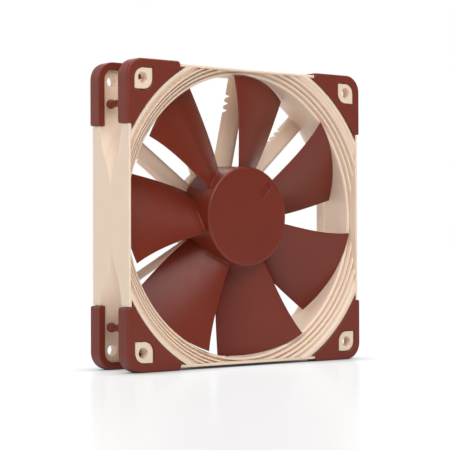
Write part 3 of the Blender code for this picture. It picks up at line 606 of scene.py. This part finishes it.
def duct_cutter():
    """The duct's bore with its stepped inlet and flared outlet, kept inside the straight rims."""
    corners = []
    r = BORE_RADIUS
    y = FRAME_FRONT + INLET_STEP_DEPTH * len(INLET_STEP_WIDTHS)
    corners.append((r, y, 2 * STEP_ROUNDING))
    for width in INLET_STEP_WIDTHS:
        corners.append((r + width - STEP_SLOPE, y, STEP_ROUNDING))
        r += width
        y -= INLET_STEP_DEPTH
        corners.append((r, y, STEP_ROUNDING))
    corners[-1] = (r, FRAME_FRONT + 0.05, RIM_ROUNDING)
    corners.append((r + CUT_SPARE, FRAME_FRONT - CUT_SPARE, 0))
    corners.append((0, FRAME_FRONT - CUT_SPARE, 0))
    corners.append((0, FRAME_BACK + CUT_SPARE, 0))
    flare_end = BORE_RADIUS + OUTLET_FLARE_WIDTH
    corners.append((flare_end + CUT_SPARE, FRAME_BACK + CUT_SPARE, 0))
    steps = 14
    for step in range(steps):
        turn = pi / 2 * step / steps
        flare_r = flare_end - OUTLET_FLARE_WIDTH * sin(turn)
        flare_y = FRAME_BACK - OUTLET_FLARE_DEPTH * (1 - cos(turn))
        corners.append((flare_r, flare_y, 0))
    corners.append((BORE_RADIUS, FRAME_BACK - OUTLET_FLARE_DEPTH, 0))
    bore = turned("bore", filleted(corners))
    half = FRAME_HALF - SIDE_LIP
    depth = -FRAME_FRONT
    loops = []
    for y, flare in (
        (-depth - CUT_SPARE, 1.25),
        (-depth, 0.25),
        (-depth + 0.08, 0.1),
        (-depth + 0.3, 0.0),
        (depth - 0.3, 0.0),
        (depth - 0.08, 0.1),
        (depth, 0.25),
        (depth + 2 * CUT_SPARE, 2.25),
    ):
        loops.append([(x, y, z) for x, z in rounded_square(half + flare, 1.0 + flare)])
    return keep_inside(bore, lofted("rims", loops))


def vane_stations():
    """Radii along a vane, each with how far its rear edge is notched there."""
    outer = BORE_RADIUS + OUTLET_FLARE_WIDTH + SIDE_WALL
    teeth_start = BORE_RADIUS - TOOTH_MARGIN - TOOTH_COUNT * TOOTH_PITCH
    inner = BASE_RADIUS - BASE_WALL / 2
    plain = ceil((teeth_start - inner) / VANE_SPAN_STEP)
    stations = [(inner + (teeth_start - inner) * i / plain, 0.0) for i in range(plain)]
    for tooth in range(TOOTH_COUNT):
        middle = teeth_start + (tooth + 0.5) * TOOTH_PITCH
        half = TOOTH_PITCH * TOOTH_SHARE / 2
        for share, depth in TOOTH_OUTLINE:
            stations.append((middle + half * share, TOOTH_DEPTH * depth))
    stations.append((teeth_start + TOOTH_COUNT * TOOTH_PITCH, 0.0))
    stations.append((outer, 0.0))
    return stations


def edge_share(depth, rounding, least):
    """The share of full thickness at a depth behind a rounded edge."""
    if depth >= rounding:
        return 1.0
    return least + (1 - least) * sqrt(1 - (1 - depth / rounding) ** 2)


def vane(angle):
    """A guide vane, leaning at its front edge and straight along the axis at its rear edge."""
    lean = VANE_OFFSETS[1] - VANE_OFFSETS[0]
    front = FRAME_BACK - VANE_DEPTH
    rounding = VANE_EDGE_ROUNDING
    near_edge = [rounding * share for share in (0.0, 0.08, 0.3, 0.6, 1.0)]
    plain = VANE_DEPTH - TOOTH_DEPTH - rounding
    loops = []
    for r, notch in vane_stations():
        length = VANE_DEPTH - notch
        depths = near_edge + [rounding + (plain - rounding) * t for t in (0.2, 0.4, 0.6, 0.8, 0.96)]
        depths += [length - depth for depth in reversed(near_edge)]
        sides = ([], [])
        for depth in depths:
            t = depth / VANE_DEPTH
            thickness = VANE_THICKNESS * edge_share(depth, rounding, VANE_EDGE_SHARE)
            thickness *= edge_share(length - depth, rounding, VANE_EDGE_SHARE)
            half = degrees(thickness / 2 / r)
            middle = angle + degrees((VANE_OFFSETS[0] + lean * (1 - (1 - t) ** 2)) / r)
            sides[0].append(at(r, middle - half, front + depth))
            sides[1].append(at(r, middle + half, front + depth))
        loops.append(sides[0] + sides[1][::-1])
    return lofted("vane", loops)


def motor_base():
    """The round cup that holds the bearing tube and the stator, then the circuit board's posts."""
    inner = BASE_RADIUS - BASE_WALL
    bore, outside, depth = TUBE_SOCKET
    socket_front = PLATE_FRONT - depth
    label_edge = BASE_RADIUS - LABEL_RIM
    edge = BASE_EDGE_RADIUS
    corners = [
        (0, PLATE_FRONT, 0),
        (bore, PLATE_FRONT, 0),
        (bore, socket_front, edge / 2),
        (outside, socket_front, edge / 2),
        (outside, PLATE_FRONT, edge),
        (inner, PLATE_FRONT, edge),
        (inner, BASE_FRONT, edge / 2),
        (BASE_RADIUS, BASE_FRONT, edge),
        (BASE_RADIUS, FRAME_BACK, edge),
        (label_edge, FRAME_BACK, edge / 2),
        (label_edge, PLATE_BACK, edge / 4),
        (0, PLATE_BACK, 0),
    ]
    pieces = [turned("motor_base", filleted(corners), HUB_FACETS)]
    for i in range(POST_COUNT):
        place = at(POST_RADIUS, LEAD_ANGLE + 360 * (i + 0.5) / POST_COUNT, 0)
        loops = []
        top = BOARD_BACK + FIT_GAP
        for y, inset in ((top, 0.25), (top + 0.25, 0.0), (PLATE_FRONT + 0.5, 0.0)):
            loop = arc(place.x, place.z, POST_DIAMETER / 2 - inset, 0, 360, 24)[:-1]
            loops.append([(x, y, z) for x, z in loop])
        pieces.append(lofted("post", loops))
    return pieces


def lead_slot():
    """The opening in the motor base's wall where the leads come out, between two vanes."""
    centre = at(BASE_RADIUS - BASE_WALL / 2, LEAD_ANGLE, PLATE_FRONT - LEAD_SLOT_DEPTH / 2)
    size = (BASE_WALL + 2 * CUT_SPARE, LEAD_SLOT_DEPTH, LEAD_SLOT_WIDTH)
    return box("lead_slot", centre, size, LEAD_ANGLE)


def frame_body():
    """The square block that the frame is cut from, with round outer edges."""
    places = [FRAME_FRONT + depth for depth in edge_depths(FRAME_EDGE_RADIUS)]
    places += [FRAME_BACK - depth for depth in reversed(edge_depths(FRAME_EDGE_RADIUS))]
    loops = []
    for y in places:
        inset = edge_inset(FRAME_BACK - abs(y), FRAME_EDGE_RADIUS)
        outline = rounded_square(FRAME_HALF - inset, FRAME_CORNER_RADIUS - inset)
        loops.append([(x, y, z) for x, z in outline])
    return lofted("frame_moulding", loops)


def frame_moulding():
    body = frame_body()
    cut(body, pocket_cutter(), duct_cutter())
    seats = [pad_seat(matrix) for _, matrix in corners()]
    holes = [screw_hole(i * HOLE_PLACE, k * HOLE_PLACE) for i in (-1, 1) for k in (-1, 1)]
    cut(body, *seats, *holes)
    wall_outline = rounded_square(FRAME_HALF - SIDE_LIP / 2, 1.0)
    inside_walls = prism("inside_walls", wall_outline, FRONT, BACK)
    vanes = join(vane(VANE_ANGLES[0]), *[vane(angle) for angle in VANE_ANGLES[1:]])
    keep_inside(vanes, inside_walls)
    inner = BASE_RADIUS - BASE_WALL / 2
    room = [(0, FRONT), (inner, FRONT), (inner, BACK), (0, BACK)]
    cut(vanes, turned("base_room", room, HUB_FACETS))
    join(body, vanes, *motor_base())
    return shaded(cut(body, lead_slot()))


# Rotor moulding


def through(values, share):
    """The curve through three values at shares 0, 0.5 and 1."""
    first, middle, last = values
    return (
        first * (1 - share) * (1 - 2 * share)
        + middle * 4 * share * (1 - share)
        + last * share * (2 * share - 1)
    )


def between(values, share):
    return values[0] + (values[1] - values[0]) * share


def blade_section(r, angle):
    """The closed loop round the blade at radius r, along its front side and back along its rear."""
    share = (r - HUB_RADIUS) / (TIP_RADIUS - HUB_RADIUS)
    start = through(LEADING_ANGLES, share) + angle
    end = through(TRAILING_ANGLES, share) + angle
    start_y = FRONT + between(LEADING_SETBACKS, share)
    end_y = SKIRT_END - between(TRAILING_SETBACKS, share)
    across = radians(end - start) * r
    along = end_y - start_y
    length = hypot(across, along)
    thickest = BLADE_ROOT_THICKNESS + (BLADE_TIP_THICKNESS - BLADE_ROOT_THICKNESS) * share
    root = BLADE_ROOT_FILLET - sqrt(
        max(0.0, BLADE_ROOT_FILLET**2 - min(0.0, r - HUB_RADIUS - BLADE_ROOT_FILLET) ** 2)
    )
    tip = edge_share(TIP_RADIUS - r, BLADE_TIP_ROUNDING, 0.3)
    nose = BLADE_EDGE_THICKNESS / 2 / length
    shares = [nose * (1 - cos(pi / 2 * i / 3)) for i in range(3)]
    shares += [nose + (1 - 2 * nose) * i / BLADE_CHORD_STEPS for i in range(BLADE_CHORD_STEPS + 1)]
    shares += [1 - t for t in reversed(shares[:3])]
    sides = ([], [])
    for t in shares:
        hump = 4 * t * (1 - t)
        half = (BLADE_EDGE_THICKNESS + (thickest - BLADE_EDGE_THICKNESS) * hump**BLADE_FULLNESS) / 2
        half *= edge_share(min(t, 1 - t), nose, 0.35)
        half = half * tip + root
        for side, offset in zip(sides, (-half, half)):
            y = start_y + along * t - BLADE_CAMBER * hump - offset * across / length
            turn = start + (end - start) * t + degrees(offset * along / length / r)
            side.append(at(r, turn, y))
    return sides[0] + sides[1][::-1]


def blade(angle):
    root = HUB_RADIUS - HUB_WALL / 2
    fillet_end = HUB_RADIUS + BLADE_ROOT_FILLET
    tip_start = TIP_RADIUS - BLADE_TIP_ROUNDING
    radii = [root, HUB_RADIUS]
    radii += [HUB_RADIUS + BLADE_ROOT_FILLET * share for share in (0.08, 0.25, 0.5, 0.75)]
    span = tip_start - fillet_end
    radii += [fillet_end + span * i / BLADE_SPAN_STEPS for i in range(BLADE_SPAN_STEPS + 1)]
    radii += [tip_start + BLADE_TIP_ROUNDING * share for share in (0.4, 0.7, 0.92, 1.0)]
    return lofted("blade", [blade_section(r, angle) for r in radii])


def hub():
    """The cup that covers the motor, with the socket for the shaft's boss inside its face."""
    inner = HUB_RADIUS - HUB_WALL
    socket_end = HUB_INNER_FACE + HUB_SOCKET_DEPTH
    gate = GATE_MARK_RADIUS
    corners = [
        (0, HUB_FRONT - GATE_MARK_HEIGHT, 0),
        (gate, HUB_FRONT, 0),
        (HUB_RADIUS, HUB_FRONT, HUB_EDGE_RADIUS),
        (HUB_RADIUS, SKIRT_END, 0.3),
        (inner, SKIRT_END, 0.3),
        (inner, HUB_INNER_FACE, 0.5),
        (HUB_SOCKET_RADIUS, HUB_INNER_FACE, 0.4),
        (HUB_SOCKET_RADIUS, socket_end, 0.3),
        (HUB_SOCKET_BORE, socket_end, 0.3),
        (HUB_SOCKET_BORE, HUB_INNER_FACE, 0),
        (0, HUB_INNER_FACE, 0),
    ]
    return turned("impeller_moulding", filleted(corners, 6), HUB_FACETS)


def hub_mark():
    """A cutter for the short round-ended slot in the hub's face."""
    width, length, depth = HUB_MARK_SIZE
    centre = at(HUB_MARK_RADIUS, HUB_MARK_ANGLE, HUB_FRONT)
    turn = Matrix.Rotation(radians(-HUB_MARK_ANGLE), 3, "Y")
    loops = []
    for y, grow in ((-1.0, 0.6), (0.0, 0.06), (0.06, 0.0), (depth - 0.08, -0.04), (depth, -0.12)):
        corners = [
            (i * (length / 2 + grow), k * (width / 2 + grow), 0.25)
            for i, k in ((-1, -1), (1, -1), (1, 1), (-1, 1))
        ]
        loops.append([centre + turn @ Vector((a, y, b)) for a, b in filleted(corners)])
    return lofted("mark", loops)


def impeller_moulding():
    body = hub()
    join(body, *[blade(-360 * i / BLADE_COUNT) for i in range(BLADE_COUNT)])
    return shaded(cut(body, hub_mark()))


# Materials


def input_of(node, name):
    return next(socket for socket in node.inputs if socket.name == name and socket.enabled)


def linked(tree, source, target):
    tree.links.new(source, target)


def node(tree, kind, **inputs):
    made = tree.nodes.new(kind)
    for name, value in inputs.items():
        made.inputs[name.replace("_", " ")].default_value = value
    return made


def noise(tree, place, size, detail=2.0):
    """Noise whose grains are about size millimetres across."""
    made = node(tree, "ShaderNodeTexNoise", Scale=1 / (size * MM), Detail=detail)
    linked(tree, place, made.inputs["Vector"])
    return made.outputs["Fac"]


def ranged(tree, value, low, high):
    """Noise between a quarter and three quarters, spread from low to high."""
    made = node(tree, "ShaderNodeMapRange", From_Min=0.25, From_Max=0.75, To_Min=low, To_Max=high)
    linked(tree, value, made.inputs["Value"])
    return made.outputs["Result"]


def moulded(
    name,
    colour,
    roughness,
    tint=0.05,
    grain=0.35,
    relief=0.004,
    metallic=0.0,
    specular=0.5,
):
    """Moulded or worked stuff: faint cloudy colour, uneven gloss and a fine grain."""
    made = bpy.data.materials.new(name)
    made.use_nodes = True
    tree = made.node_tree
    shader = tree.nodes["Principled BSDF"]
    place = tree.nodes.new("ShaderNodeTexCoord").outputs["Object"]
    clouds = noise(tree, place, 14.0, 4.0)
    mix = tree.nodes.new("ShaderNodeMix")
    mix.data_type = "RGBA"
    light = [min(1.0, channel * (1 + tint)) for channel in colour]
    dark = [channel * (1 - tint) for channel in colour]
    linked(tree, ranged(tree, clouds, 0.0, 1.0), mix.inputs["Factor"])
    input_of(mix, "A").default_value = (*dark, 1)
    input_of(mix, "B").default_value = (*light, 1)
    result = next(socket for socket in mix.outputs if socket.enabled)
    linked(tree, result, shader.inputs["Base Color"])
    scuffs = noise(tree, place, 3.0, 5.0)
    gloss = ranged(tree, scuffs, roughness - GLOSS_SPREAD, roughness + GLOSS_SPREAD)
    linked(tree, gloss, shader.inputs["Roughness"])
    shader.inputs["Metallic"].default_value = metallic
    shader.inputs["Specular IOR Level"].default_value = specular
    bump = node(tree, "ShaderNodeBump", Strength=1.0, Distance=relief * MM)
    linked(tree, noise(tree, place, grain, 3.0), bump.inputs["Height"])
    linked(tree, bump.outputs["Normal"], shader.inputs["Normal"])
    made.diffuse_color = (*colour, 1)
    return made


BEIGE = (0.83, 0.652, 0.508)
BROWN = (0.166, 0.0210, 0.0085)
RUBBER = (0.168, 0.0225, 0.0100)
GLOSS_SPREAD = 0.05

MATERIALS = {
    "beige_plastic": moulded("beige_plastic", BEIGE, 0.45, tint=0.02, grain=0.4, relief=0.004),
    "brown_plastic": moulded("brown_plastic", BROWN, 0.36, tint=0.06, grain=0.3, relief=0.005, specular=0.38),
    "brown_rubber": moulded("brown_rubber", RUBBER, 0.48, tint=0.06, grain=0.25, relief=0.006, specular=0.38),
    "steel": moulded("steel", (0.56, 0.57, 0.58), 0.3, metallic=1.0, relief=0.002),
    "core_steel": moulded("core_steel", (0.35, 0.35, 0.36), 0.45, metallic=1.0),
    "ferrite": moulded("ferrite", (0.035, 0.034, 0.033), 0.6, relief=0.008),
    "brass": moulded("brass", (0.78, 0.57, 0.22), 0.3, metallic=1.0, relief=0.002),
    "bronze": moulded("bronze", (0.55, 0.33, 0.16), 0.45, metallic=1.0, relief=0.006),
    "copper": moulded("copper", (0.72, 0.28, 0.13), 0.3, metallic=1.0, relief=0.002),
    "nylon": moulded("nylon", (0.8, 0.78, 0.7), 0.5),
    "board_green": moulded("board_green", (0.02, 0.13, 0.05), 0.4),
    "black_epoxy": moulded("black_epoxy", (0.02, 0.02, 0.02), 0.45),
    "ceramic": moulded("ceramic", (0.5, 0.42, 0.3), 0.5),
    "tin": moulded("tin", (0.75, 0.75, 0.74), 0.35, metallic=1.0),
    "label_paper": moulded("label_paper", (0.62, 0.56, 0.47), 0.5, grain=0.15, relief=0.003),
}


def placed(piece, slot, body, *nodes):
    """Gives a piece its material, and has it ride on a body in place of CAD nodes."""
    piece.data.materials.clear()
    piece.data.materials.append(MATERIALS[slot])
    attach(piece, body)
    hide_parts(*nodes)


def finish_cad_nodes():
    """The inner pieces keep their CAD shapes and take the finer materials."""
    for part in frame["record"]["subparts"]:
        obj = frame["nodes"][part["node"]]
        if not obj.hide_render:
            obj.material_slots[0].material = MATERIALS[part["material_slot"]]


# Stage

CAMERA_AZIMUTH = -38.374
CAMERA_ELEVATION = -0.603
CAMERA_ROLL = -0.164
CAMERA_DISTANCE = 624.3
CAMERA_OFFSET = (2.278, 3.381)  # where the fan's centre lies, right of and above the view's middle
LENS = 122.4
SENSOR = 36.0
SOFTBOX_DISTANCE = 1.0  # in metres, from the fan's centre
# Each softbox's name, direction (right of, above and towards the camera), size in metres and power
SOFTBOXES = (
    ("top", (0.0, 1.0, 0.05), 0.6, 6.3),
    ("top_front", (0.0, 0.8, 0.8), 0.5, 2.5),
    ("left_front", (-0.6, 0.6, 1.0), 0.5, 2.3),
    ("right_front", (0.5, 0.7, 0.9), 0.5, 2.6),
    ("right_top", (0.8, 0.9, 0.3), 0.5, 1.2),
    ("top_back", (0.0, 0.8, -0.6), 0.5, 3.4),
    ("left_back", (-0.8, 0.3, -0.6), 0.5, 1.5),
    ("right_back", (0.8, 0.3, -0.6), 0.5, 0.5),
    ("left", (-1.0, 0.15, 0.15), 0.5, 0.5),
)
ROOM_LIGHT = 0.01
FLOOR_GLOW = 1.04
FLOOR_GLOSS = 0.17
FLOOR_ROUGHNESS = 0.22
FLOOR_REACH = 3.0  # in metres, each way
CONTACT_SHADE_REACH = 0.014  # in metres


def camera_axes():
    """The camera's right, up and back directions, before its roll."""
    turn = radians(CAMERA_AZIMUTH)
    rise = radians(CAMERA_ELEVATION)
    back = Vector((sin(turn) * cos(rise), -cos(turn) * cos(rise), sin(rise)))
    right = Vector((cos(turn), sin(turn), 0))
    return right, back.cross(right), back


def make_camera():
    right, up, back = camera_axes()
    roll = radians(CAMERA_ROLL)
    across = right * cos(roll) + up * sin(roll)
    upright = up * cos(roll) - right * sin(roll)
    offset = across * CAMERA_OFFSET[0] + upright * CAMERA_OFFSET[1]
    place = (back * CAMERA_DISTANCE - offset) * MM
    data = bpy.data.cameras.new("camera")
    data.lens = LENS
    data.sensor_width = SENSOR
    data.clip_start = 0.01
    camera = bpy.data.objects.new("camera", data)
    bpy.context.scene.collection.objects.link(camera)
    turn = Matrix((across, upright, back)).transposed().to_4x4()
    camera.matrix_world = Matrix.Translation(place) @ turn
    bpy.context.scene.camera = camera


def softbox(name, direction, size, power):
    """A square light facing the fan, in a direction given as right of, above and towards the camera."""
    right, up, back = camera_axes()
    way = (right * direction[0] + up * direction[1] + back * direction[2]).normalized()
    data = bpy.data.lights.new(name, "AREA")
    data.shape = "SQUARE"
    data.size = size
    data.energy = power
    light = bpy.data.objects.new(name, data)
    light.location = way * SOFTBOX_DISTANCE
    light.rotation_mode = "QUATERNION"
    light.rotation_quaternion = way.to_track_quat("Z", "Y")
    bpy.context.scene.collection.objects.link(light)


def make_lights():
    """Softboxes above and in front, and a white backdrop behind the fan."""
    for name, direction, size, power in SOFTBOXES:
        softbox(name, direction, size, power)
    world = bpy.data.worlds.new("studio")
    world.use_nodes = True
    tree = world.node_tree
    background = tree.nodes["Background"]
    background.inputs["Color"].default_value = (1, 1, 1, 1)
    way = tree.nodes.new("ShaderNodeTexCoord").outputs["Generated"]
    facing = node(tree, "ShaderNodeVectorMath")
    facing.operation = "DOT_PRODUCT"
    facing.inputs[1].default_value = -camera_axes()[2]
    linked(tree, way, facing.inputs[0])
    backdrop = node(tree, "ShaderNodeMapRange", From_Min=0.45, From_Max=0.7, To_Min=ROOM_LIGHT, To_Max=1.0)
    linked(tree, facing.outputs["Value"], backdrop.inputs["Value"])
    seen = tree.nodes.new("ShaderNodeLightPath").outputs["Is Camera Ray"]
    strength = node(tree, "ShaderNodeMath")
    strength.operation = "MAXIMUM"
    linked(tree, backdrop.outputs["Result"], strength.inputs[0])
    linked(tree, seen, strength.inputs[1])
    linked(tree, strength.outputs["Value"], background.inputs["Strength"])
    bpy.context.scene.world = world


def make_floor():
    """A bright white table top with a faint soft reflection and painted shade close to the fan."""
    height = FLOOR_HEIGHT * MM
    reach = FLOOR_REACH
    corners = [(-reach, -reach), (reach, -reach), (reach, reach), (-reach, reach)]
    mesh = bpy.data.meshes.new("floor")
    mesh.from_pydata([(x, y, height) for x, y in corners], [], [(0, 1, 2, 3)])
    floor = bpy.data.objects.new("floor", mesh)
    bpy.context.scene.collection.objects.link(floor)
    made = bpy.data.materials.new("floor")
    made.use_nodes = True
    tree = made.node_tree
    tree.nodes.remove(tree.nodes["Principled BSDF"])
    # Ambient occlusion darkens the floor's glow close to the fan: painted contact shade.
    near = node(tree, "ShaderNodeAmbientOcclusion", Distance=CONTACT_SHADE_REACH)
    glow = node(tree, "ShaderNodeEmission", Strength=FLOOR_GLOW)
    linked(tree, near.outputs["Color"], glow.inputs["Color"])
    gloss = node(tree, "ShaderNodeBsdfGlossy", Color=(0.92, 0.96, 1.0, 1), Roughness=FLOOR_ROUGHNESS)
    mix = node(tree, "ShaderNodeMixShader", Fac=FLOOR_GLOSS)
    linked(tree, glow.outputs["Emission"], mix.inputs[1])
    linked(tree, gloss.outputs["BSDF"], mix.inputs[2])
    linked(tree, mix.outputs["Shader"], tree.nodes["Material Output"].inputs["Surface"])
    mesh.materials.append(made)


def main():
    make_camera()
    make_lights()
    make_floor()
    bpy.context.scene.view_settings.view_transform = "Standard"
    placed(frame_moulding(), "beige_plastic", "housing", "frame")
    for name, matrix in corners():
        placed(corner_pad(name + "_rubber", matrix), "brown_rubber", "housing", name)
    placed(impeller_moulding(), "brown_plastic", "rotor", "impeller")
    finish_cad_nodes()


main()
